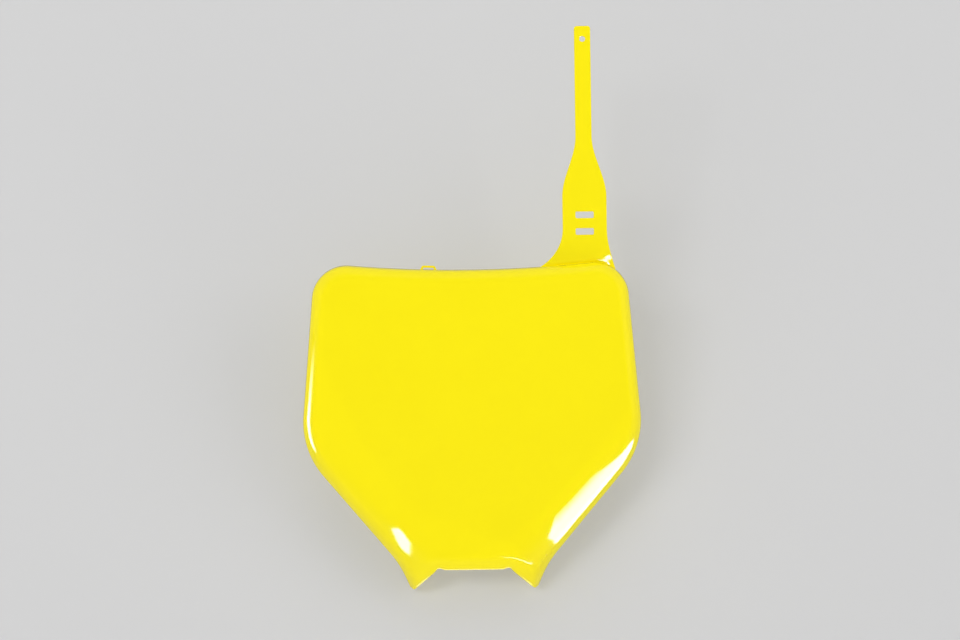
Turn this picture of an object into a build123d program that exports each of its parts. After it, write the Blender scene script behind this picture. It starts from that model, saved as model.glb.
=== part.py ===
import os
from math import atan2, cos, hypot, radians, sin, tan

from build123d import *

# Racing number board, moulded in one piece: a crowned shield with its edges rolled back into a rim, two ears
# either side of a notch at the foot, and a fixing strap and a small loop that rise from the top rim.
# X runs across the board, Y from the face to the back and Z up. X = 0 is the shield's middle, Z = 0 is at the
# tips of the ears, and Y = 0 is half way between the front of the face and the back of the ears.

# Skin
wall = 2.4
roll_radius = 9.0
rim_depth = 16.0
draft = 6.0

# Outline of the rim in front view, right half, as corners with a rounding at each
outline_depth = 20.0
top_half_width = 111.4
top_height = 235.6
top_sag = 6.2
top_corner_radius = 25.0
waist_half_width = 123.0
waist_height = 101.3
waist_radius = 60.0
ear_half_width = 51.8
ear_height = 17.0
ear_radius = 80.0
ear_lean = 21.8
foot_drop = 26.0
foot_radius = 14.0

# Face: a crown across and upright, wings bent back beside the ears, a chin bent back above the notch
crown_radius = 900.0
crown_height = 125.0
upright_radius = 2500.0
wing_turn = 3.0
wing_inset = 16.3
wing_radius = 34.0
wing_blend = 12.0
chin_height = 60.0
chin_radius = 260.0
chin_blend = 20.0

# Notch between the ears, and the slanted ends of the ears
notch_half_width = 26.0
notch_height = 14.1
notch_corner_radius = 3.0
lip_radius = 3.0
tip_half_width = 43.7
tip_rise = 27.0

# Strap: a tongue that widens to a paddle with two slots, flared where it joins the top rim
strap_x = 82.6
strap_length = 169.7
strap_thickness = 2.5
strap_edge_radius = 0.9
strap_setback = 1.6
tongue_width = 11.8
tongue_length = 79.2
tongue_corner_radius = 2.2
paddle_width = 31.8
shoulder_length = 43.0
paddle_length = 24.0
base_reach_left = 33.5
base_reach_right = 23.0
strap_sink = 4.0
strap_heel = 9.0
hole_diameter = 4.1
hole_from_tip = 9.4
slot_width = 12.9
slot_height = 4.6
slot_corner_radius = 0.9
slot_from_paddle_foot = -1.0
slot_pitch = 11.9

# Loop on the top rim
loop_x = -29.7
loop_width = 10.7
loop_rise = 2.6
loop_thickness = 1.3
loop_depth = 3.0
loop_corner_radius = 2.0

# Blanks that the skin is cut from
front_gap = 6.0
form_margin = 16.0
form_columns = 27
form_rows = 28
form_tolerance = 0.05
slope_step = 0.01


def past(distance, blend):
    # Zero well before the line, the distance well past it, with a smooth start
    return (distance + hypot(distance, blend)) / 2


def bend(distance, radius):
    # How far a surface that turns back with this radius has dropped, this far past the start of the bend
    return hypot(radius, distance) - radius


diagonal = atan2(ear_height - waist_height, ear_half_width - waist_half_width)
wing_line = diagonal - radians(wing_turn)


def face_depth(x, z):
    # Depth of the face behind its foremost point
    crown = x**2 / (2 * crown_radius) + (z - crown_height) ** 2 / (2 * upright_radius)
    across = (waist_half_width - abs(x)) * sin(wing_line) + (z - waist_height) * cos(wing_line)
    wing = bend(past(wing_inset + across, wing_blend), wing_radius)
    chin = bend(past(chin_height - z, chin_blend), chin_radius)
    return crown + wing + chin


# Outer end of an ear, where its slanted end meets the flared back of its outer edge
tip_slope = tan(radians(tip_rise))
lean_slope = tan(radians(ear_lean))
ear_edge = ear_half_width + rim_depth * tan(radians(draft)) / cos(radians(ear_lean))
tip_outer = (ear_edge - lean_slope * (ear_height + tip_slope * tip_half_width)) / (1 - tip_slope * lean_slope)

board_depth = face_depth(tip_outer, tip_slope * (tip_outer - tip_half_width)) + rim_depth
face_plane = Plane.XZ.offset(board_depth / 2)
blank_plane = face_plane.offset(front_gap)
blank_depth = front_gap + board_depth + form_margin
blank_low = -foot_drop - form_margin
spread = (outline_depth + front_gap) * tan(radians(draft))


def skin_point(x, z, inset):
    # Point of the face moved towards the back along its normal
    slope_x = (face_depth(x + slope_step, z) - face_depth(x - slope_step, z)) / (2 * slope_step)
    slope_z = (face_depth(x, z + slope_step) - face_depth(x, z - slope_step)) / (2 * slope_step)
    scale = inset / hypot(slope_x, 1, slope_z)
    return x - slope_x * scale, face_depth(x, z) + scale - board_depth / 2, z - slope_z * scale


def form(inset, setback=0):
    # Everything behind the face, with the face moved back by the inset and then straight back by the setback
    half_width = waist_half_width + form_margin
    low = -foot_drop - form_margin
    high = top_height + form_margin
    columns = [half_width * (2 * i / (form_columns - 1) - 1) for i in range(form_columns)]
    rows = [low + (high - low) * i / (form_rows - 1) for i in range(form_rows)]
    grid = [[skin_point(x, z, inset) for x in columns] for z in rows]
    face = Face.make_surface_from_array_of_points(grid, tol=form_tolerance, min_deg=3, max_deg=3)
    return Solid.extrude(face, Vector(0, blank_depth, 0)).moved(Pos(0, setback, 0))


def shield(inset):
    # The outline drawn back with its draft, closed by the face, with the face's edge rolled
    foot_half_width = ear_half_width - (ear_height + foot_drop) * tan(radians(ear_lean))
    right = [
        (top_half_width, top_height),
        (waist_half_width, waist_height),
        (ear_half_width, ear_height),
        (foot_half_width, -foot_drop),
    ]
    left = [(-x, z) for x, z in reversed(right)]
    radii = [waist_radius, ear_radius, foot_radius]
    with BuildPart() as block:
        with BuildSketch(blank_plane) as outline:
            with BuildLine():
                ThreePointArc(left[-1], (0, top_height - top_sag), right[0])
                FilletPolyline(*right, *left, radius=[*radii, *reversed(radii)])
            make_face()
            fillet(outline.vertices().group_by(Axis.Y)[-1], top_corner_radius)
            offset(amount=-spread - inset / cos(radians(draft)))
        extrude(amount=-blank_depth, taper=-draft)
        add(form(inset), mode=Mode.INTERSECT)
        front = block.faces().sort_by(Axis.Y)[0]
        fillet(front.edges(), roll_radius - inset)
    return block.part


def notch(inset):
    # The space between the ears, which narrows towards the back by the draft
    slope = (tip_half_width - notch_half_width) / notch_height
    low_half_width = notch_half_width + (notch_height - blank_low) * slope
    with BuildPart() as void:
        with BuildSketch(blank_plane):
            with BuildLine():
                FilletPolyline(
                    (-notch_half_width, notch_height),
                    (notch_half_width, notch_height),
                    (low_half_width, blank_low),
                    (-low_half_width, blank_low),
                    radius=[notch_corner_radius, notch_corner_radius, 0, 0],
                    close=True,
                )
            make_face()
            offset(amount=spread + inset / cos(radians(draft)))
        extrude(amount=-blank_depth, taper=draft)
    return void.part


def borders_notch(point):
    return abs(point.X) < tip_half_width and point.Z < notch_height + lip_radius


def top_edge(x):
    # Height of the top edge of the rim
    return top_height - top_sag * (1 - (x / top_half_width) ** 2)


rim_back = face_depth(strap_x, top_height) + rim_depth
strap_front = rim_back - strap_setback - strap_thickness
strap_foot = top_edge(strap_x) - strap_sink
strap_heel_foot = strap_foot - strap_heel
strap_tip = top_edge(strap_x) + strap_length
tongue_foot = strap_tip - tongue_length
paddle_top = tongue_foot - shoulder_length
paddle_foot = paddle_top - paddle_length


def strap_edge(side, base_reach):
    # One edge of the strap from its tip down to the rim, then straight on down through the rim's wall
    tongue_x = strap_x + side * tongue_width / 2
    paddle_x = strap_x + side * paddle_width / 2
    base_x = strap_x + side * base_reach
    Line((tongue_x, strap_tip), (tongue_x, tongue_foot))
    Spline((tongue_x, tongue_foot), (paddle_x, paddle_top), tangents=[(0, -1), (0, -1)])
    Line((paddle_x, paddle_top), (paddle_x, paddle_foot))
    TangentArc((paddle_x, paddle_foot), (base_x, strap_foot), tangent=(0, -1))
    Line((base_x, strap_foot), (base_x, strap_heel_foot))


with BuildPart() as strap:
    with BuildSketch(face_plane.offset(-strap_front)) as strap_outline:
        with BuildLine():
            strap_edge(-1, base_reach_left)
            strap_edge(1, base_reach_right)
            Line((strap_x - tongue_width / 2, strap_tip), (strap_x + tongue_width / 2, strap_tip))
            Line((strap_x - base_reach_left, strap_heel_foot), (strap_x + base_reach_right, strap_heel_foot))
        make_face()
        fillet(strap_outline.vertices().group_by(Axis.Y)[-1], tongue_corner_radius)
    extrude(amount=-strap_thickness)
    fillet(strap.faces().filter_by(Axis.Y).edges(), strap_edge_radius)
    with BuildSketch(face_plane.offset(-strap_front)):
        with Locations((strap_x, strap_tip - hole_from_tip)):
            Circle(hole_diameter / 2)
        with Locations(
            (strap_x, paddle_foot + slot_from_paddle_foot),
            (strap_x, paddle_foot + slot_from_paddle_foot + slot_pitch),
        ):
            RectangleRounded(slot_width, slot_height, slot_corner_radius)
    extrude(amount=-strap_thickness, mode=Mode.SUBTRACT)

loop_back = face_depth(loop_x, top_height) + rim_depth
with BuildPart() as loop:
    with BuildSketch(face_plane.offset(loop_depth - loop_back)):
        with Locations((loop_x, top_edge(loop_x))):
            RectangleRounded(loop_width, 2 * loop_rise, loop_corner_radius)
            RectangleRounded(
                loop_width - 2 * loop_thickness,
                2 * (loop_rise - loop_thickness),
                loop_corner_radius - loop_thickness,
                mode=Mode.SUBTRACT,
            )
    extrude(amount=-loop_depth)

with BuildPart() as number_board:
    add(shield(0))
    add(notch(0), mode=Mode.SUBTRACT)
    front = number_board.faces().sort_by(Axis.Y)[0]
    lip = front.edges().filter_by(lambda edge: borders_notch(edge.center()))
    fillet(lip, lip_radius)
    add(form(0, rim_depth), mode=Mode.SUBTRACT)
    add(strap.part)
    add(loop.part)
    add(shield(wall).cut(notch(wall)), mode=Mode.SUBTRACT)
    with BuildSketch(blank_plane):
        end_top = tip_slope * (waist_half_width - tip_half_width)
        with BuildLine():
            Polyline(
                (-tip_half_width, 0),
                (tip_half_width, 0),
                (waist_half_width, end_top),
                (waist_half_width, blank_low),
                (-waist_half_width, blank_low),
                (-waist_half_width, end_top),
                close=True,
            )
        make_face()
    extrude(amount=-blank_depth, mode=Mode.SUBTRACT)
number_board.part.label = "number_board"

os.makedirs("parts", exist_ok=True)
export_step(number_board.part, "parts/number_board.step")
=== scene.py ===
import bpy
import numpy as np
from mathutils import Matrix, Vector


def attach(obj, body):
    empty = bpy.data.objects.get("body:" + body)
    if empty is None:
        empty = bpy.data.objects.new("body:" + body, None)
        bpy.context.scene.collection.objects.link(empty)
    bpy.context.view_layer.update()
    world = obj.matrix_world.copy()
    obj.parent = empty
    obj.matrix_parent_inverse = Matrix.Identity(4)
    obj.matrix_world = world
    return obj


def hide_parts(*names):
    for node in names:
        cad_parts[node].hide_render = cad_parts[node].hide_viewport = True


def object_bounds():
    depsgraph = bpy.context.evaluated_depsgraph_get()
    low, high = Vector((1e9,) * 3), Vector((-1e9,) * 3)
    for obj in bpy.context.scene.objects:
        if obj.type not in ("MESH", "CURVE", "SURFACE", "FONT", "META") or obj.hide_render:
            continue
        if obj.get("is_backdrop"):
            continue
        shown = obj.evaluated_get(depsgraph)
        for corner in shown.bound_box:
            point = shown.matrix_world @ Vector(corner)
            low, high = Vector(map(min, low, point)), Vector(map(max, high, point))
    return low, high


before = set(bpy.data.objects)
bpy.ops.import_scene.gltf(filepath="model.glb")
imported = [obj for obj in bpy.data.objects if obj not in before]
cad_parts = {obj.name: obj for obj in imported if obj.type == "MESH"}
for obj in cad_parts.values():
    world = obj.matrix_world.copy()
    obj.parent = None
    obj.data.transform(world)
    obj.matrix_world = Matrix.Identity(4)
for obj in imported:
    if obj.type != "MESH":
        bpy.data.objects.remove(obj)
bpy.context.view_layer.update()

# Racing number board: a gloss plastic shield with a rolled rim, two ears, a fixing strap and a small loop.
# Sizes are in mm and degrees, x across, depth back from the front of the face, z up from the ear tips.
mm = 0.001            # metres
arcStep = 0.02        # radians between the points of a drawn arc
scene = bpy.context.scene

board = {
    "wall": 2.4, "rollRadius": 9.0, "rimDepth": 16.0, "draft": 6.0, "outlineDepth": 20.0, "rimRound": 0.6,
    "topHalfWidth": 111.4, "topHeight": 235.6, "topSag": 6.2, "topCornerRadius": 25.0,
    "waistHalfWidth": 123.0, "waistHeight": 101.3, "waistRadius": 60.0,
    "earHalfWidth": 51.8, "earHeight": 17.0, "earRadius": 80.0, "earLean": 21.8,
    "tipHalfWidth": 43.7, "tipRise": 27.0, "tipOuterRound": 1.4, "tipRound": 0.8,
    "notchHalfWidth": 26.0, "notchHeight": 14.1, "notchCornerRadius": 2.0,
    "reliefRise": 1.2, "reliefWidth": 2.6, "reliefAt": 24.6,
    "lipStart": 11.0, "lipBlend": 2.0, "lipRadius": 14.0, "lipEdgeRound": 1.6, "lipBackRound": 0.4,
    "crownRadius": 900.0, "crownHeight": 125.0, "uprightRadius": 2500.0,
    "wingTurn": 3.0, "wingInset": 16.3, "wingRadius": 34.0, "wingBlend": 12.0,
    "chinHeight": 60.0, "chinRadius": 260.0, "chinBlend": 20.0,
    "middleHeight": 75.0,                                  # point that the grid's rays run to
    "longStep": 1.3, "shortStep": 0.28, "turnStep": 0.12,  # mm between points, and their turn at a corner
    "fineStep": 0.1, "turnSpan": 41,                       # even spacing at first, and points to average over
    "leastTurning": 1e-9,                                  # keeps straight runs from a division by zero
    "rayFacing": 0.35, "raySpan": 61,                      # least share of a ray that leads straight inwards
    "topPoints": 60, "cornerTries": 6,
    "searchDepth": 30.0, "searchStep": 0.5,                # search along the rays for the inner edge
    "slopeStep": 0.01,
    "frontRings": {"rollReach": 13.0, "rollRings": 24, "faceRings": 24},
    "backRings": {"rollReach": 9.0, "rollRings": 12, "faceRings": 14},
    "evenRings": 0.2,                                      # share of even spacing among the face's rings
    "outerWallRings": 5, "innerWallRings": 4, "rimRings": 5,
    "sharpAngle": 28,
}


def past(distance, blend):
    # zero well before a line, the distance well past it, with a smooth start: (d + hypot(d, blend)) / 2
    return (distance + np.hypot(distance, blend)) / 2


def bendBack(distance, radius):
    # drop of a surface that turns back with this radius, by the distance past its start: hypot(r, d) - r
    return np.hypot(radius, distance) - radius


def roundDrop(distance, radius, lean=0.0):
    # drop of a rounded edge: r - sqrt(r^2 - (r cos lean - d)^2) inside the round, zero further in
    inside = np.clip(radius * np.cos(np.radians(lean)) - distance, 0.0, radius)
    return radius - np.sqrt(radius**2 - inside**2)


def faceDepth(x, z):
    # crown x^2 / 2R + (z - zc)^2 / 2R, plus the wings and the chin, each a bend past its own line
    wingLine = np.arctan2(
        board["earHeight"] - board["waistHeight"], board["earHalfWidth"] - board["waistHalfWidth"]
    ) - np.radians(board["wingTurn"])
    aside, above = board["waistHalfWidth"] - np.abs(x), z - board["waistHeight"]
    across = aside * np.sin(wingLine) + above * np.cos(wingLine) + board["wingInset"]
    crown = x**2 / (2 * board["crownRadius"]) + (z - board["crownHeight"]) ** 2 / (2 * board["uprightRadius"])
    wing = bendBack(past(across, board["wingBlend"]), board["wingRadius"])
    chin = bendBack(past(board["chinHeight"] - z, board["chinBlend"]), board["chinRadius"])
    return crown + wing + chin


def deepestDepth():
    # depth of the rim at the outer end of an ear, where its slanted end meets its flared outer edge
    lean, rise, draft = (np.tan(np.radians(board[name])) for name in ("earLean", "tipRise", "draft"))
    edge = board["earHalfWidth"] + board["rimDepth"] * draft * np.hypot(1, lean)
    outer = (edge - lean * (board["earHeight"] + rise * board["tipHalfWidth"])) / (1 - rise * lean)
    return faceDepth(outer, rise * (outer - board["tipHalfWidth"])) + board["rimDepth"]


boardDepth = deepestDepth()


def topEdge(x):
    # height of the top edge before its corners are rounded: H - sag (1 - (x / w)^2)
    return board["topHeight"] - board["topSag"] * (1 - (x / board["topHalfWidth"]) ** 2)


def cornerArc(before, corner, after, radius):
    # arc tangent to both runs at a corner, from one run to the other, as points one arc step apart
    before, corner, after = (np.asarray(point, float) for point in (before, corner, after))
    first = (before - corner) / np.linalg.norm(before - corner)
    last = (after - corner) / np.linalg.norm(after - corner)
    half = np.arccos(np.clip(first @ last, -1, 1)) / 2
    middle = (first + last) / np.linalg.norm(first + last)
    centre = corner + middle * radius / np.sin(half)
    start = corner + first * radius / np.tan(half) - centre
    side = last * radius / np.tan(half) + corner - centre
    side = side - start * (side @ start) / radius**2
    side = side * radius / np.linalg.norm(side)
    turn = np.linspace(0, np.pi - 2 * half, int((np.pi - 2 * half) / arcStep) + 2)[:, None]
    return centre + start * np.cos(turn) + side * np.sin(turn)


def rightOutline():
    # parts of the outline's right half, in order from the top's middle to the notch's middle
    top = np.array([board["topHalfWidth"], board["topHeight"]])
    waist = np.array([board["waistHalfWidth"], board["waistHeight"]])
    ear = np.array([board["earHalfWidth"], board["earHeight"]])
    lean = np.tan(np.radians(board["earLean"]))
    rise = np.tan(np.radians(board["tipRise"]))
    tip = np.array([board["tipHalfWidth"], 0.0])
    tipX = (ear[0] - ear[1] * lean - tip[0] * rise * lean) / (1 - rise * lean)
    tipOuter = np.array([tipX, (tipX - tip[0]) * rise])
    notch = np.array([board["notchHalfWidth"], board["notchHeight"]])
    x = top[0] - board["topCornerRadius"]
    for _ in range(board["cornerTries"]):      # tangent to the top's curve where the corner's arc starts
        slope = 2 * board["topSag"] * x / board["topHalfWidth"] ** 2
        side = (waist - top) / (waist - top)[1]
        z = (topEdge(x) + slope * (top[0] - side[0] * top[1] - x)) / (1 - slope * side[0])
        corner = np.array([top[0] + side[0] * (z - top[1]), z])
        arc = cornerArc([0.0, z - slope * corner[0]], corner, waist, board["topCornerRadius"])
        x = arc[0, 0]
    run = np.linspace(0, x, board["topPoints"], endpoint=False)
    return [
        np.stack([run, topEdge(run)], 1),
        arc,
        cornerArc(corner, waist, ear, board["waistRadius"]),
        cornerArc(waist, ear, tipOuter, board["earRadius"]),
        cornerArc(ear, tipOuter, tip, board["tipOuterRound"]),
        cornerArc(tipOuter, tip, notch, board["tipRound"]),
        cornerArc(tip, notch, [0.0, notch[1]], board["notchCornerRadius"]),
        np.array([[0.0, notch[1]]]),
    ]


earEndPart = 4      # place among those parts of the corner at the outer end of the ear


def spaced(parts, notchPart):
    # points along the half outline, closer where it turns, and the first of them past the middle of one part
    points = np.concatenate(parts)
    length = np.concatenate([[0], np.cumsum(np.hypot(*np.diff(points, axis=0).T))])
    fine = np.linspace(0, length[-1], int(length[-1] / board["fineStep"]))
    dense = np.stack([np.interp(fine, length, points[:, k]) for k in (0, 1)], 1)
    heading = np.unwrap(np.arctan2(*np.gradient(dense, axis=0).T[::-1]))
    turning = np.abs(np.gradient(heading, fine))
    span = board["turnSpan"]
    turning = np.convolve(np.pad(turning, span // 2, mode="edge"), np.ones(span) / span, mode="valid")
    step = board["turnStep"] / (turning + board["leastTurning"])
    step = np.clip(step, board["shortStep"], board["longStep"])
    count = np.concatenate([[0], np.cumsum(np.diff(fine) / ((step[1:] + step[:-1]) / 2))])
    at = np.interp(np.linspace(0, count[-1], int(count[-1]) + 2), count, fine)
    half = np.stack([np.interp(at, fine, dense[:, k]) for k in (0, 1)], 1)
    notchStart = length[sum(len(part) for part in parts[:notchPart]) + len(parts[notchPart]) // 2]
    return half, int(np.searchsorted(at, notchStart))


def outwardOf(line):
    # outward normal of a closed line that runs clockwise seen from the front: the heading turned left
    heading = np.roll(line, -1, 0) - np.roll(line, 1, 0)
    return np.stack([-heading[:, 1], heading[:, 0]], 1) / np.linalg.norm(heading, axis=1, keepdims=True)


def distanceTo(x, z, line):
    # least distance from each point to the straight runs of an open line
    start, run = line[:-1], np.diff(line, axis=0)
    offX, offZ = x[:, None] - start[:, 0], z[:, None] - start[:, 1]
    along = np.clip((offX * run[:, 0] + offZ * run[:, 1]) / (run**2).sum(1), 0, 1)
    return np.sqrt(((offX - along * run[:, 0]) ** 2 + (offZ - along * run[:, 1]) ** 2).min(1))


def gridFaces(rings, around):
    # quads between neighbouring rings of a closed grid, numbered ring by ring
    ring, step = np.meshgrid(np.arange(rings - 1), np.arange(around), indexing="ij")
    after = (step + 1) % around
    quads = np.stack([ring * around + step, ring * around + after,
                      (ring + 1) * around + after, (ring + 1) * around + step], -1)
    return quads.reshape(-1, 4)


def capFans(rings, around):
    # triangles from the first and last rings of a closed grid to the two middle points that follow it
    step = np.arange(around)
    after = (step + 1) % around
    base, centre = (rings - 1) * around, rings * around
    return np.concatenate([
        np.stack([np.full(around, centre), after, step], 1),
        np.stack([np.full(around, centre + 1), base + step, base + after], 1),
    ])


def makeMesh(name, points, quads, triangles=None):
    # mesh in metres from points in mm, turned outwards if the volume its faces enclose comes out negative
    flat = np.asarray(points, float).reshape(-1, 3) * mm
    triangles = np.zeros((0, 3), int) if triangles is None else triangles
    fans = np.concatenate([quads[:, [0, 1, 2]], quads[:, [0, 2, 3]], triangles])
    volume = np.einsum("ij,ij->", flat[fans[:, 0]], np.cross(flat[fans[:, 1]], flat[fans[:, 2]])) / 6
    if volume < 0:
        quads, triangles = quads[:, ::-1], triangles[:, ::-1]
    mesh = bpy.data.meshes.new(name)
    mesh.vertices.add(len(flat))
    mesh.vertices.foreach_set("co", flat.ravel())
    mesh.loops.add(quads.size + triangles.size)
    mesh.loops.foreach_set("vertex_index", np.concatenate([quads.ravel(), triangles.ravel()]))
    sizes = np.concatenate([np.full(len(quads), 4), np.full(len(triangles), 3)])
    mesh.polygons.add(len(sizes))
    mesh.polygons.foreach_set("loop_start", np.concatenate([[0], np.cumsum(sizes)[:-1]]))
    mesh.polygons.foreach_set("use_smooth", np.ones(len(sizes), bool))
    mesh.update(calc_edges=True)
    mesh.validate()
    piece = bpy.data.objects.new(name, mesh)
    scene.collection.objects.link(piece)
    print(name, len(flat), "points", round(abs(volume) * 1e6, 2), "cm3")
    return piece


def boardShell():
    # rings of points on rays from the outline to one point of the face: out over the face, round the roll,
    # back down the wall, over the rim and in again over the back
    half, notchStart = spaced(rightOutline(), earEndPart)
    mirrored = half[-2:0:-1] * [-1, 1]
    line = np.concatenate([half, mirrored])
    count, last = len(line), len(half) - 1
    besideRelief = (np.abs(line[:, 0]) - board["reliefAt"]) / board["reliefWidth"]
    relief = np.exp(-(besideRelief**2)) * board["reliefRise"]
    inNotch = np.abs(np.arange(count) - last) < last - notchStart
    plain = line.copy()
    line[:, 1] += np.where(inNotch & (line[:, 1] > board["notchHeight"] / 2), relief, 0)
    outward = outwardOf(line)
    draft = np.tan(np.radians(board["draft"]))

    def edgeDepth(x, z):
        # depth at which the roll, or the lip in the notch, meets the wall
        rolled = roundDrop(np.zeros_like(x), board["rollRadius"], board["draft"])
        lipped = bendBack(past(board["lipStart"], board["lipBlend"]), board["lipRadius"])
        return faceDepth(x, z) + np.where(inNotch, lipped + board["lipEdgeRound"], rolled)

    line = line + outward * ((edgeDepth(*line.T) - board["outlineDepth"]) * draft)[:, None]
    outward = outwardOf(line)
    order = np.roll(np.arange(count), -(2 * last - notchStart))
    sideLine = line[order[: 2 * notchStart + 1]]
    footLine = line[notchStart: 2 * last - notchStart + 1]
    lipLine = plain[notchStart: 2 * last - notchStart + 1]
    toMiddle = np.array([0.0, board["middleHeight"]]) - line
    reach = np.linalg.norm(toMiddle, axis=1)
    ray = toMiddle / reach[:, None]
    facing = np.clip(-(ray * outward).sum(1), board["rayFacing"], 1)
    spread = np.hanning(board["raySpan"])
    padded = np.pad(facing, board["raySpan"] // 2, mode="wrap")
    facing = np.convolve(padded, spread / spread.sum(), mode="valid")      # no jumps from ray to ray

    def skinDepth(x, z, inset):
        # face, edge roll, lip round the notch and the lip's own small round, each by its distance to the edge
        side = distanceTo(x, z, sideLine) - inset
        foot = distanceTo(x, z, footLine)
        roll = roundDrop(side, board["rollRadius"] - inset, board["draft"])
        onLip = past(board["lipStart"] - distanceTo(x, z, lipLine), board["lipBlend"])
        lip = bendBack(onLip, board["lipRadius"])
        edge = roundDrop(foot - inset, max(board["lipEdgeRound"] - inset, board["lipBackRound"]))
        step = board["slopeStep"]
        slopeX = (faceDepth(x + step, z) - faceDepth(x - step, z)) / (2 * step)
        slopeZ = (faceDepth(x, z + step) - faceDepth(x, z - step)) / (2 * step)
        return faceDepth(x, z) + inset * np.sqrt(1 + slopeX**2 + slopeZ**2) + roll + lip + edge

    def skinRing(along, inset):
        # one ring, this far along every ray from the edge
        x, z = (line + ray * along[:, None]).T
        return np.stack([x, skinDepth(x, z, inset), z], 1)

    def skinRings(start, inset, rollReach, rollRings, faceRings):
        # from the pole out to the edge: even steps of angle round the roll, longer steps over the face
        roll = rollReach * (1 - np.cos(np.linspace(0, np.pi / 2, rollRings)))
        part = np.linspace(0, 1, faceRings + 1)[1:]
        part = board["evenRings"] * part + (1 - board["evenRings"]) * part**2
        inner = start + roll[-1] / facing
        offsets = [start + step / facing for step in roll]
        offsets += [inner + (reach - inner) * share for share in part]
        return [skinRing(along, inset) for along in offsets[::-1]]

    outer = skinRings(np.zeros(count), 0.0, **board["frontRings"])
    trial = np.arange(0, board["searchDepth"] + board["searchStep"] / 2, board["searchStep"])
    depthIn = np.stack([
        np.minimum(*(distanceTo(*(line + ray * along).T, part) for part in (sideLine, footLine)))
        for along in trial
    ])
    first = np.argmax(depthIn >= board["wall"], axis=0)
    here, before = depthIn[first, np.arange(count)], depthIn[first - 1, np.arange(count)]
    inStart = trial[first] - (here - board["wall"]) / (here - before) * (trial[1] - trial[0])
    inner = skinRings(inStart, board["wall"], **board["backRings"])

    edge, inEdge = outer[-1], inner[-1]
    rimDepth = faceDepth(*line.T) + board["rimDepth"]
    push = np.stack([outward[:, 0], np.zeros(count), outward[:, 1]], 1) * draft

    def wallAt(base, depth):
        # the edge carried back to a depth, moved outwards by the draft on the way
        lower = base + push * (depth - base[:, 1])[:, None]
        lower[:, 1] = depth
        return lower

    rimRound = board["rimRound"]
    outerWall = [wallAt(edge, edge[:, 1] + (rimDepth - rimRound - edge[:, 1]) * share)
                 for share in np.linspace(0, 1, board["outerWallRings"] + 1)[1:]]
    innerWall = [wallAt(inEdge, inEdge[:, 1] + (rimDepth - rimRound - inEdge[:, 1]) * share)
                 for share in np.linspace(1, 0, board["innerWallRings"] + 1)[:-1]]
    outerRim, innerRim = wallAt(edge, rimDepth), wallAt(inEdge, rimDepth)
    turns = np.linspace(0, np.pi / 2, board["rimRings"] + 1)[1:]
    inwards = rimRound * (1 - np.cos(turns))
    insets = np.concatenate([inwards, board["wall"] - inwards[::-1]])
    drops = np.concatenate([rimRound * (1 - np.sin(turns)), rimRound * (1 - np.sin(turns[::-1]))])
    rim = []
    for inset, drop in zip(insets, drops):
        ring = outerRim + (innerRim - outerRim) * inset / board["wall"]
        ring[:, 1] -= drop
        rim.append(ring)
    rings = outer[1:] + outerWall + rim + innerWall + inner[:0:-1]
    points = np.concatenate(rings + [outer[0][:1], inner[0][:1]])
    points[:, 1] -= boardDepth / 2
    return makeMesh("boardShell", points, gridFaces(len(rings), count), capFans(len(rings), count)), line


shell, outlineLine = boardShell()

# Strap: a tongue that widens to a paddle with two slots, flared and bent with the rim where it joins it
strap = {
    "at": 82.6, "length": 169.7, "thickness": 2.5, "edgeRound": 0.9, "setback": 1.6, "sink": 4.0, "root": 1.3,
    "tongueWidth": 11.8, "tongueLength": 79.2, "tongueCorner": 2.2,
    "paddleWidth": 31.8, "shoulderLength": 43.0, "paddleLength": 22.5,
    "reachLeft": 35.5, "reachRight": 23.0, "mostLean": 3.0, "grooveDepth": 0.6, "grooveHeight": 1.3,
    "edgeAhead": 6.0,                                         # wall's front edge before the outline's depth
    "foldOut": 16.5, "foldUp": 9.5, "foldAround": -48.0,      # base's right end, bent back
    "foldSlope": 0.72, "foldBlend": 2.5, "foldWidth": 5.0,
    "holeDiameter": 4.1, "holeFromTip": 9.4, "slotWidth": 12.9, "slotHeight": 4.6, "slotCorner": 0.9,
    "slotFromFoot": -2.5, "slotPitch": 11.9, "cutRound": 0.35, "cutPast": 3.0, "cutMargin": 0.02,
    "closeHeight": 8.0,                                       # part of the foot with closer rows
    "rows": {"foot": 14, "flare": 18, "paddle": 10, "shoulder": 24, "tongue": 14, "tip": 12},
    "columns": {"edge": 7, "between": 10}, "cutPoints": {"corner": 9, "round": 4},
}
strapTop = topEdge(strap["at"]) + strap["length"]
strapFoot = topEdge(strap["at"]) - strap["sink"]
tongueFoot = strapTop - strap["tongueLength"]
paddleTop = tongueFoot - strap["shoulderLength"]
paddleFoot = paddleTop - strap["paddleLength"]
rimBack = faceDepth(strap["at"], board["topHeight"]) + board["rimDepth"]
strapDepth = rimBack - strap["setback"] - strap["thickness"]


def strapReach(z, baseReach):
    # half width at each height: tongue, smooth step to the paddle, arc out to the base, and a rounded tip
    tongue, paddle = strap["tongueWidth"] / 2, strap["paddleWidth"] / 2
    share = np.clip((tongueFoot - z) / strap["shoulderLength"], 0, 1)
    width = tongue + (paddle - tongue) * share**2 * (3 - 2 * share)
    out, down = baseReach - paddle, paddleFoot - strapFoot
    radius = (out**2 + down**2) / (2 * out)
    width = width + radius - np.sqrt(radius**2 - np.clip(paddleFoot - z, 0, down) ** 2)
    tip = np.clip(z - strapTop + strap["tongueCorner"], 0, strap["tongueCorner"])
    return width - strap["tongueCorner"] + np.sqrt(strap["tongueCorner"] ** 2 - tip**2)


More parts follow.
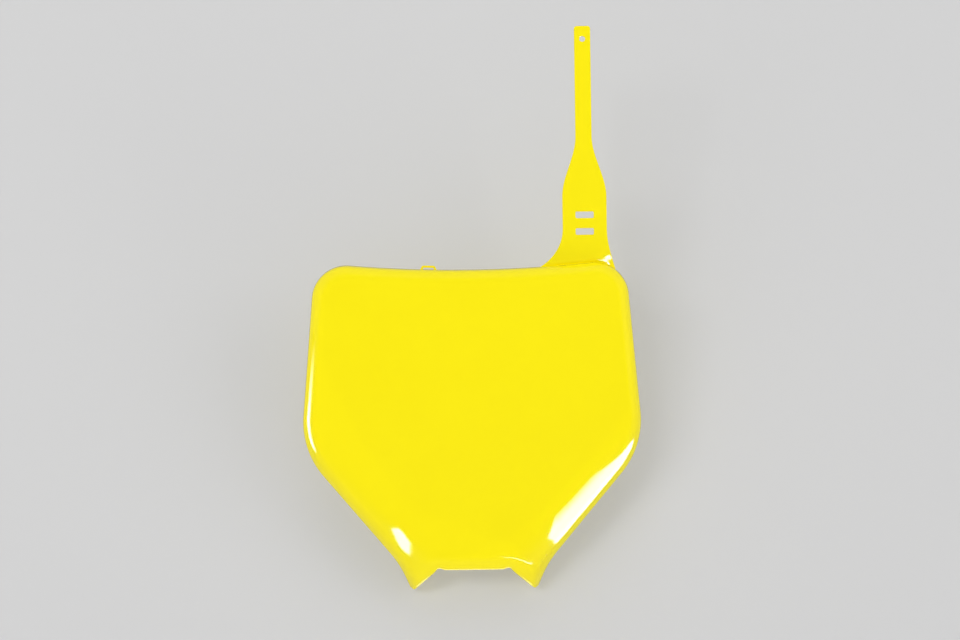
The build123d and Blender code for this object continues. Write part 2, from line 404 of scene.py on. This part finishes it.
def strapPiece():
    # closed sections up the strap, each a flat band with rounded edges, that follow the rim at the base
    rows, columns = strap["rows"], strap["columns"]
    corner = strap["tongueCorner"] * (1 - np.cos(np.linspace(0, np.pi / 2, rows["tip"])))
    closeTop, cornerFoot = strapFoot + strap["closeHeight"], strapTop - strap["tongueCorner"]
    z = np.concatenate([
        np.linspace(strapFoot, closeTop, rows["foot"], endpoint=False),
        np.linspace(closeTop, paddleFoot, rows["flare"], endpoint=False),
        np.linspace(paddleFoot, paddleTop, rows["paddle"], endpoint=False),
        np.linspace(paddleTop, tongueFoot, rows["shoulder"], endpoint=False),
        np.linspace(tongueFoot, cornerFoot, rows["tongue"], endpoint=False),
        strapTop - corner[::-1],
    ])
    left, right = -strapReach(z, strap["reachLeft"]), strapReach(z, strap["reachRight"])
    leanLeft = np.minimum(np.hypot(1, np.gradient(left, z)), strap["mostLean"])
    leanRight = np.minimum(np.hypot(1, np.gradient(right, z)), strap["mostLean"])
    edge = strap["edgeRound"] * (1 - np.cos(np.linspace(0, np.pi / 2, columns["edge"])))
    inLeft = left[:, None] + edge * leanLeft[:, None]
    inRight = right[:, None] - edge[::-1] * leanRight[:, None]
    share = np.linspace(0, 1, columns["between"] + 2)[1:-1]
    between = inLeft[:, -1:] + (inRight[:, :1] - inLeft[:, -1:]) * share
    offset = np.concatenate([inLeft, between, inRight], 1)
    x = strap["at"] + offset
    fromLeft = (offset - left[:, None]) / leanLeft[:, None]
    fromRight = (right[:, None] - offset) / leanRight[:, None]
    inside = np.minimum(np.minimum(fromLeft, fromRight), strapTop - z[:, None])
    top = outlineLine[: np.argmax(outlineLine[:, 0])]
    wallRun = strapDepth - board["outlineDepth"] + strap["edgeAhead"]
    wallTop = np.interp(x, top[:, 0], top[:, 1]) + wallRun * np.tan(np.radians(board["draft"]))
    fade = np.clip((paddleFoot - z) / (paddleFoot - strapFoot), 0, 1)[:, None]
    height = z[:, None] + (wallTop - strap["root"] - strapFoot) * fade**2
    follow = (faceDepth(x, board["topHeight"]) - faceDepth(strap["at"], board["topHeight"])) * fade
    turned = np.radians(strap["foldAround"])
    foldX, foldZ = offset - strap["foldOut"], height - strapFoot - strap["foldUp"]
    folded = foldX * np.cos(turned) + foldZ * np.sin(turned)
    levelled = past(folded - strap["foldWidth"], strap["foldBlend"])
    fold = strap["foldSlope"] * (past(folded, strap["foldBlend"]) - levelled)
    rounded = roundDrop(np.clip(inside, 0, None), strap["edgeRound"])
    groove = strap["grooveDepth"] * np.exp(-(((height - wallTop) / strap["grooveHeight"]) ** 2))
    groove = groove * (1 - rounded / strap["edgeRound"]) * np.exp(-fold)      # none at the edges and the fold
    front = strapDepth + follow + fold + rounded + groove
    back = strapDepth + strap["thickness"] + follow + fold - rounded
    section = np.stack([
        np.concatenate([x, x[:, ::-1]], 1),
        np.concatenate([front, back[:, ::-1]], 1) - boardDepth / 2,
        np.concatenate([height, height[:, ::-1]], 1),
    ], -1)
    around, across = section.shape[1], x.shape[1]
    column = np.arange(across - 1)
    cap = np.stack([column, around - 1 - column, around - 2 - column, column + 1], 1)
    lastRing = (len(z) - 1) * around
    quads = np.concatenate([gridFaces(len(z), around), cap, lastRing + cap[:, ::-1]])
    return makeMesh("fixingStrap", section, quads)


def cutter(name, x, z, width, height, corner):
    # rounded rectangle carried through the strap, wider by a small round at both of its faces
    turn = np.linspace(0, np.pi / 2, strap["cutPoints"]["corner"])
    arc = np.stack([np.cos(turn), np.sin(turn)], 1)
    quarter = np.array([[1, 1], [-1, 1], [-1, -1], [1, -1]])
    turned = [arc, arc[::-1] * [-1, 1], arc * [-1, -1], arc[::-1] * [1, -1]]
    rounding = strap["cutRound"]
    ease = np.linspace(0, np.pi / 2, strap["cutPoints"]["round"])
    rise = rounding * (1 - np.cos(ease))
    flare = rounding * (1 - np.sin(ease))
    through, beyond = strap["thickness"], strap["cutPast"]
    depth = np.concatenate([[-beyond], rise, through - rise[::-1], [through + beyond]]) + strapDepth
    widest = [rounding + strap["cutMargin"]]
    grow = np.concatenate([widest, flare, flare[::-1], widest])
    rings = []
    for deep, more in zip(depth, grow):
        shape = np.concatenate([
            np.array([width / 2 - corner, height / 2 - corner]) * sign + (corner + more) * bow
            for sign, bow in zip(quarter, turned)
        ])
        y = np.full(len(shape), deep - boardDepth / 2)
        rings.append(np.stack([x + shape[:, 0], y, z + shape[:, 1]], 1))
    around = len(rings[0])
    middle = np.array([[x, depth[0] - boardDepth / 2, z], [x, depth[-1] - boardDepth / 2, z]])
    points = np.concatenate(rings + [middle])
    return makeMesh(name, points, gridFaces(len(rings), around), capFans(len(rings), around))


def combine(piece, operation, *others):
    # exact Boolean with each of the others in turn, applied, and the others removed
    for other in others:
        modifier = piece.modifiers.new(other.name, "BOOLEAN")
        modifier.operation, modifier.solver, modifier.object = operation, "EXACT", other
        made = bpy.data.meshes.new_from_object(piece.evaluated_get(bpy.context.evaluated_depsgraph_get()))
        piece.modifiers.clear()
        piece.data = made
        bpy.data.objects.remove(other)


strapBand = strapPiece()
hole, slot = strap["holeDiameter"], (strap["slotWidth"], strap["slotHeight"], strap["slotCorner"])
slotLow = paddleFoot + strap["slotFromFoot"]
combine(
    strapBand, "DIFFERENCE",
    cutter("holeCut", strap["at"], strapTop - strap["holeFromTip"], hole, hole, hole / 2),
    cutter("slotLowCut", strap["at"], slotLow, *slot),
    cutter("slotHighCut", strap["at"], slotLow + strap["slotPitch"], *slot),
)

# Loop: a small flat arch on the top rim
loop = {
    "at": -29.7, "width": 10.7, "rise": 2.5, "thickness": 1.6, "depth": 3.0, "inset": 0.2,
    "corner": 2.2, "root": 1.2, "flare": 1.0, "cornerPoints": 10, "barPoints": 24,
    "thickSquare": 1.6, "deepSquare": 1.3,                    # how square the bar's section is, 1 for round
}


def loopPiece():
    # rounded bar section carried along an arch: up, round a corner, across, round a corner and down
    half, high = (loop["width"] - loop["thickness"]) / 2, loop["rise"] - loop["thickness"] / 2
    bow = loop["corner"] - loop["thickness"] / 2
    turn = np.linspace(0, np.pi / 2, loop["cornerPoints"])
    corner = np.stack([half - bow + bow * np.cos(turn), high - bow + bow * np.sin(turn)], 1)
    rightSide = np.concatenate([[[half + loop["flare"], -loop["root"]]], corner, [[0.0, high]]])
    path = np.concatenate([rightSide, rightSide[-2::-1] * [-1, 1]])
    heading = np.gradient(path, axis=0)
    side = np.stack([heading[:, 1], -heading[:, 0]], 1) / np.linalg.norm(heading, axis=1, keepdims=True)
    turn = np.linspace(0, 2 * np.pi, loop["barPoints"], endpoint=False)
    square = np.stack([np.cos(turn), np.sin(turn)], 1)
    thick = np.clip(square[:, 0] * loop["thickSquare"], -1, 1) * loop["thickness"] / 2
    deep = np.clip(square[:, 1] * loop["deepSquare"], -1, 1) * loop["depth"] / 2
    back = faceDepth(loop["at"], board["topHeight"]) + board["rimDepth"]
    x = loop["at"] + path[:, :1] + side[:, :1] * thick
    z = topEdge(x) + path[:, 1:] + side[:, 1:] * thick
    y = np.broadcast_to(back - loop["depth"] / 2 - loop["inset"] + deep - boardDepth / 2, x.shape)
    bar = np.stack([x, y, z], -1)
    points = np.concatenate([bar.reshape(-1, 3), bar[:1].mean(1), bar[-1:].mean(1)])
    return makeMesh("rimLoop", points, gridFaces(*x.shape), capFans(*x.shape))


combine(shell, "UNION", strapBand, loopPiece())
shell.name = shell.data.name = "numberBoard"
shell.data.polygons.foreach_set("use_smooth", np.ones(len(shell.data.polygons), bool))
shell.data.set_sharp_from_angle(angle=np.radians(board["sharpAngle"]))
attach(shell, "root")
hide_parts("number_board")
print("board", len(shell.data.vertices), "points", len(shell.data.polygons), "faces")


class Value:
    # a node's output that takes part in Python sums: each operator adds one Math node
    def __init__(self, tree, socket):
        self.tree, self.socket = tree, socket

    def sum(self, operation, first, second):
        # one Math node on two values, each a number or another node's output
        node = self.tree.nodes.new("ShaderNodeMath")
        node.operation = operation
        for entry, value in zip(node.inputs, (first, second)):
            if isinstance(value, Value):
                self.tree.links.new(value.socket, entry)
            else:
                entry.default_value = value
        return Value(self.tree, node.outputs[0])

    def __add__(self, other):
        return self.sum("ADD", self, other)

    def __radd__(self, other):
        return self.sum("ADD", other, self)

    def __sub__(self, other):
        return self.sum("SUBTRACT", self, other)

    def __rsub__(self, other):
        return self.sum("SUBTRACT", other, self)

    def __mul__(self, other):
        return self.sum("MULTIPLY", self, other)

    def __rmul__(self, other):
        return self.sum("MULTIPLY", other, self)


class Nodes:
    # one node tree; add() makes any node: its settings, then values or links of its inputs by name or number
    def __init__(self, owner):
        owner.use_nodes = True
        self.tree = owner.node_tree
        self.tree.nodes.clear()

    def add(self, kind, settings=None, inputs=None, output=0):
        node = self.tree.nodes.new(kind)
        for name, value in (settings or {}).items():
            setattr(node, name, value)
        for name, value in (inputs or {}).items():
            if isinstance(value, Value):
                self.tree.links.new(value.socket, node.inputs[name])
            else:
                node.inputs[name].default_value = value
        return Value(self.tree, node.outputs[output]) if len(node.outputs) else None


# Plastic: gloss yellow, very slightly mottled, with a fine moulded ripple in its gloss
plastic = {
    "colour": (0.97, 0.835, 0.004, 1), "mottled": (0.945, 0.80, 0.003, 1), "mottleScale": 22.0,
    "mottleDetail": 3.0, "roughness": 0.05, "roughnessChange": 0.02,
    "rippleScale": 140.0, "rippleDetail": 2.0, "rippleHeight": 0.00001, "ripple": 0.2,
    "ior": 1.5,
}


def plasticFinish():
    # colour mixed by slow noise; roughness = base + change * (noise - 0.5); normal from a fine noise bump
    material = bpy.data.materials.new("glossPlastic")
    nodes = Nodes(material)
    place = nodes.add("ShaderNodeTexCoord", output="Object")
    slow, fine = (
        nodes.add("ShaderNodeTexNoise", inputs={
            "Vector": place, "Scale": plastic[name + "Scale"], "Detail": plastic[name + "Detail"],
        })
        for name in ("mottle", "ripple")
    )
    colour = nodes.add(
        "ShaderNodeMix", {"data_type": "RGBA"},
        {0: slow, 6: plastic["colour"], 7: plastic["mottled"]}, output=2,
    )
    rough = plastic["roughness"] + plastic["roughnessChange"] * (slow - 0.5)
    bump = nodes.add(
        "ShaderNodeBump",
        inputs={"Height": fine, "Strength": plastic["ripple"], "Distance": plastic["rippleHeight"]},
    )
    surface = nodes.add("ShaderNodeBsdfPrincipled", inputs={
        "Base Color": colour, "Roughness": rough, "Normal": bump, "IOR": plastic["ior"],
    })
    nodes.add("ShaderNodeOutputMaterial", inputs={"Surface": surface})
    return material


shell.data.materials.clear()
shell.data.materials.append(plasticFinish())
print("plastic done")

# Stage: a pale floor under the board, and a grey card behind it that leans back and shows only from the front
stage = {
    "floorDrop": 0.05, "floorHalf": 9.0, "floorColour": (0.62, 0.62, 0.62, 1),
    "cardBehind": 0.0215, "cardLean": 0.25, "cardHalf": 2.5,
    "cardColour": (0.635, 0.635, 0.635, 1), "cardLit": 0.6,      # share of it that takes light and shadow
}


def stagePlane(name, corners):
    # one flat face through the corners, staged, with an empty material to fill
    mesh = bpy.data.meshes.new(name)
    mesh.from_pydata(corners, [], [tuple(range(len(corners)))])
    plane = bpy.data.objects.new(name, mesh)
    scene.collection.objects.link(plane)
    material = bpy.data.materials.new(name)
    mesh.materials.append(material)
    plane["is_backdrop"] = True
    return plane, Nodes(material)


half, drop = stage["floorHalf"], -stage["floorDrop"]
floor, nodes = stagePlane("floor", [
    (-half, -half, drop), (half, -half, drop), (half, half, drop), (-half, half, drop),
])
nodes.add("ShaderNodeOutputMaterial", inputs={
    "Surface": nodes.add("ShaderNodeBsdfDiffuse", inputs={"Color": stage["floorColour"]}),
})
floor.visible_shadow = floor.visible_glossy = False      # lets the low lamps through

half, low, high = stage["cardHalf"], drop, stage["cardHalf"]
near, far = (stage["cardBehind"] + stage["cardLean"] * z for z in (low, high))
card, nodes = stagePlane("card", [
    (-half, near, low), (half, near, low), (half, far, high), (-half, far, high),
])
nodes.add("ShaderNodeOutputMaterial", inputs={
    "Surface": nodes.add("ShaderNodeMixShader", inputs={
        0: nodes.add("ShaderNodeNewGeometry", output="Backfacing"),
        1: nodes.add("ShaderNodeMixShader", inputs={
            0: stage["cardLit"],
            1: nodes.add("ShaderNodeEmission", inputs={"Color": stage["cardColour"]}),
            2: nodes.add("ShaderNodeBsdfDiffuse", inputs={"Color": stage["cardColour"]}),
        }),
        2: nodes.add("ShaderNodeBsdfTransparent"),
    }),
})
card.visible_glossy = False      # the rim mirrors the dim world, not the card

# World: pale, dim in front so that the face stays deep in colour, and a little dimmer behind
sky = {
    "pale": (0.42, 0.42, 0.43, 1),
    "front": {"colour": (0.14, 0.14, 0.14, 1), "start": 0.5, "end": 0.9},
    "behind": {"colour": (0.34, 0.34, 0.33, 1), "start": -0.3, "end": -0.8},
}
world = scene.world or bpy.data.worlds.new("World")
scene.world = world
nodes = Nodes(world)
direction = nodes.add("ShaderNodeTexCoord", output="Generated")
forward = nodes.add(
    "ShaderNodeVectorMath", {"operation": "DOT_PRODUCT"}, {0: direction, 1: (0, -1, 0)}, output=1,
)
tint = sky["pale"]
for side in (sky["front"], sky["behind"]):
    share = nodes.add("ShaderNodeMapRange", {"interpolation_type": "SMOOTHSTEP"}, {
        "Value": forward, "From Min": side["start"], "From Max": side["end"],
    })
    tint = nodes.add("ShaderNodeMix", {"data_type": "RGBA"}, {0: share, 6: tint, 7: side["colour"]}, output=2)
nodes.add("ShaderNodeOutputWorld", inputs={
    "Surface": nodes.add("ShaderNodeBackground", inputs={"Color": tint, "Strength": 1.0}),
})

# Lamps and reflectors are placed by two angles: off from the face's axis, and around it as seen from the
# front, 0 to the right and 90 up. Lamps light the colour and reflectors show only in the gloss. Level is the
# brightness, and a fade runs from dark to full between two such pairs of angles.
lamps = {
    "keyLeft": {"off": 38, "around": 155, "size": 16, "level": 8.4},
    "keyHigh": {"off": 27, "around": 135, "size": 13, "level": 8.4},
    "keyRight": {"off": 58, "around": 22, "size": 34, "level": 1.9},
    "top": {"off": 68, "around": 90, "size": 34, "level": 2.3},
    "lowLeft": {"off": 70, "around": -135, "size": 34, "level": 2.6},
    "lowRight": {"off": 72, "around": -40, "size": 34, "level": 3.3},
}
reflectors = {
    "broadLowRight": {"at": (57, -38), "level": 21, "fade": [(26, -36), (46, -37)], "corners": [
        (90, -19.5), (61, -26.6), (40, -31.8), (31, -33), (30.5, -49),
        (51.3, -54), (76, -50), (98, -48), (98, -22),
    ]},
    "thinLeft": {"at": (72, 190), "level": 19, "fade": [(80, 173), (80, 180)], "corners": [
        (66, 173), (92, 173), (92, 200), (80, 206), (72, 204),
    ]},
    "smallLowLeft": {"at": (48, -126), "level": 20, "corners": [
        (35, -127), (45, -130), (60.5, -126), (59, -123), (41, -121.5),
    ]},
    "low": {"at": (47, -72), "level": 14, "fade": [(31, -84), (53, -66)], "corners": [
        (34, -83), (44, -77), (48.5, -73), (51.5, -65.5), (65, -58.8),
        (65, -59.6), (53, -67.5), (50, -76.5), (44, -79.5),
    ]},
    "below": {"at": (120, -90), "level": 2.2, "corners": [(104, -80), (104, -100), (140, -104), (140, -70)]},
}
aim = Vector((0.0, 0.0, 0.12))
lampDistance = 3.4
reflectorDistance = 1.4


def towardsLamp(off, around):
    # unit vector at these two angles
    off, around = np.radians(off), np.radians(around)
    return Vector((np.sin(off) * np.cos(around), -np.cos(off), np.sin(off) * np.sin(around)))


def addLamp(name, lamp):
    # square area lamp facing the board, its power = level * pi * area, so that level is its brightness
    out = towardsLamp(lamp["off"], lamp["around"])
    data = bpy.data.lights.new(name, "AREA")
    data.size = 2 * lampDistance * np.tan(np.radians(lamp["size"] / 2))
    data.energy = lamp["level"] * np.pi * data.size**2
    body = bpy.data.objects.new(name, data)
    body.location = aim + out * lampDistance
    body.rotation_euler = out.to_track_quat("Z", "Y").to_euler()
    body.visible_camera = body.visible_glossy = False
    scene.collection.objects.link(body)


def addReflector(name, reflector):
    # glowing panel in the plane that faces the board, its corners where the angles meet that plane, and its
    # glow even or rising along the fade
    out = towardsLamp(*reflector["at"])

    def onPanel(angles):
        # where the line from the aim at these angles meets the panel's plane: aim + d * distance / (d . out)
        direction = towardsLamp(*angles)
        return aim + direction * (reflectorDistance / direction.dot(out))

    panel, nodes = stagePlane(name, [tuple(onPanel(corner)) for corner in reflector["corners"]])
    glow = (1.0, 1.0, 1.0, 1)
    if "fade" in reflector:
        start, end = (onPanel(angles) for angles in reflector["fade"])
        run = (end - start) / (end - start).length_squared
        place = nodes.add("ShaderNodeTexCoord", output="Object")
        along = nodes.add(
            "ShaderNodeVectorMath", {"operation": "DOT_PRODUCT"}, {0: place, 1: tuple(run)}, output=1,
        )
        share = nodes.add("ShaderNodeMapRange", {"interpolation_type": "SMOOTHSTEP"}, {
            "Value": along, "From Min": start.dot(run), "From Max": end.dot(run),
        })
        dark = (0.0, 0.0, 0.0, 1)
        glow = nodes.add("ShaderNodeMix", {"data_type": "RGBA"}, {0: share, 6: dark, 7: glow}, output=2)
    nodes.add("ShaderNodeOutputMaterial", inputs={
        "Surface": nodes.add("ShaderNodeEmission", inputs={"Color": glow, "Strength": reflector["level"]}),
    })
    panel.visible_camera = panel.visible_diffuse = panel.visible_shadow = False


for name, lamp in lamps.items():
    addLamp(name, lamp)
for name, reflector in reflectors.items():
    addReflector(name, reflector)
print("stage and lamps done")

# Camera: a straight front view from 1.5 m, turned a little about its own axis
view = {"x": 6.68, "z": 192.93, "distance": 1500.0, "roll": 0.8, "lens": 79.56, "sensor": 36.0}
cameraData = bpy.data.cameras.new("camera")
cameraData.sensor_width, cameraData.lens = view["sensor"], view["lens"]
camera = bpy.data.objects.new("camera", cameraData)
camera.location = (view["x"] * mm, -(view["distance"] + boardDepth / 2) * mm, view["z"] * mm)
camera.rotation_euler = (np.pi / 2, np.radians(view["roll"]), 0)
scene.collection.objects.link(camera)
scene.camera = camera
scene.view_settings.view_transform = "Standard"

low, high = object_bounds()
